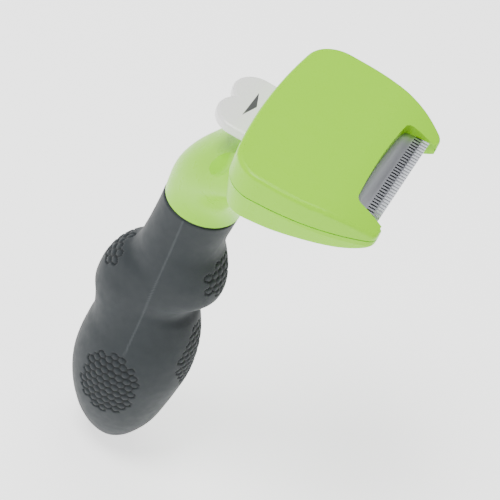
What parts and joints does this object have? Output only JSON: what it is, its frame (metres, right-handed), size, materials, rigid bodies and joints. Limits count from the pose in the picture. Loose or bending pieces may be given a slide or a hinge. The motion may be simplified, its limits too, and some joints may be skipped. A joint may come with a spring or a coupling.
{
  "type": "deshedding tool",
  "caption": "Hand-held pet deshedding tool: wide comb head with a steel tooth blade, push-button hair ejector with spring return, and a contoured rubber grip.",
  "frame": {"origin": "centre of the bounding box's base, at the end of the handle", "axes": "+Z from the handle's end towards the head and out of its flat front face, -Y the way the comb points, X along the comb's edge"},
  "size_m": [0.07, 0.078, 0.1644],
  "materials": {
    "lime_shell": "satin moulded ABS, lime green",
    "blade_steel": "satin stainless steel",
    "fastener_steel": "zinc-plated steel",
    "spring_steel": "bright drawn wire",
    "natural_acetal": "natural acetal",
    "seal_rubber": "matt black rubber",
    "core_plastic": "glass-filled nylon",
    "grip_rubber": "matt charcoal thermoplastic rubber",
    "insert_brass": "knurled brass",
    "slide_plastic": "black acetal",
    "button_plastic": "smooth off-white plastic",
    "arrow_ink": "dark grey inlay"
  },
  "bodies": {
    "tool": {"front_cover": "lime_shell", "rear_housing": "lime_shell", "comb_blade": "blade_steel", "blade_screws": "fastener_steel", "cover_screws": "fastener_steel", "guide_rail_right": "natural_acetal", "guide_rail_left": "natural_acetal", "spring_pin_right": "fastener_steel", "spring_pin_left": "fastener_steel", "return_spring_right": "spring_steel", "return_spring_left": "spring_steel", "neck_seal": "seal_rubber", "core_front": "core_plastic", "core_back": "core_plastic", "core_screws": "fastener_steel", "rubber_grip": "grip_rubber", "neck_insert": "insert_brass", "retaining_screw": "fastener_steel"},
    "ejector": {"ejector_slide": "slide_plastic", "pusher_bar": "slide_plastic", "pusher_rivets": "fastener_steel", "ejector_button": "button_plastic", "button_arrow": "arrow_ink", "button_pins": "fastener_steel"}
  },
  "joints": [
    {"name": "ejector_slide_joint", "type": "slide", "parent": "tool", "child": "ejector", "axis": [0, -1, 0], "range_m": [0, 0.0065], "stiffness_N_per_m": 900, "springref_m": -0.001, "deforming": ["return_spring_right", "return_spring_left"]}
  ]
}
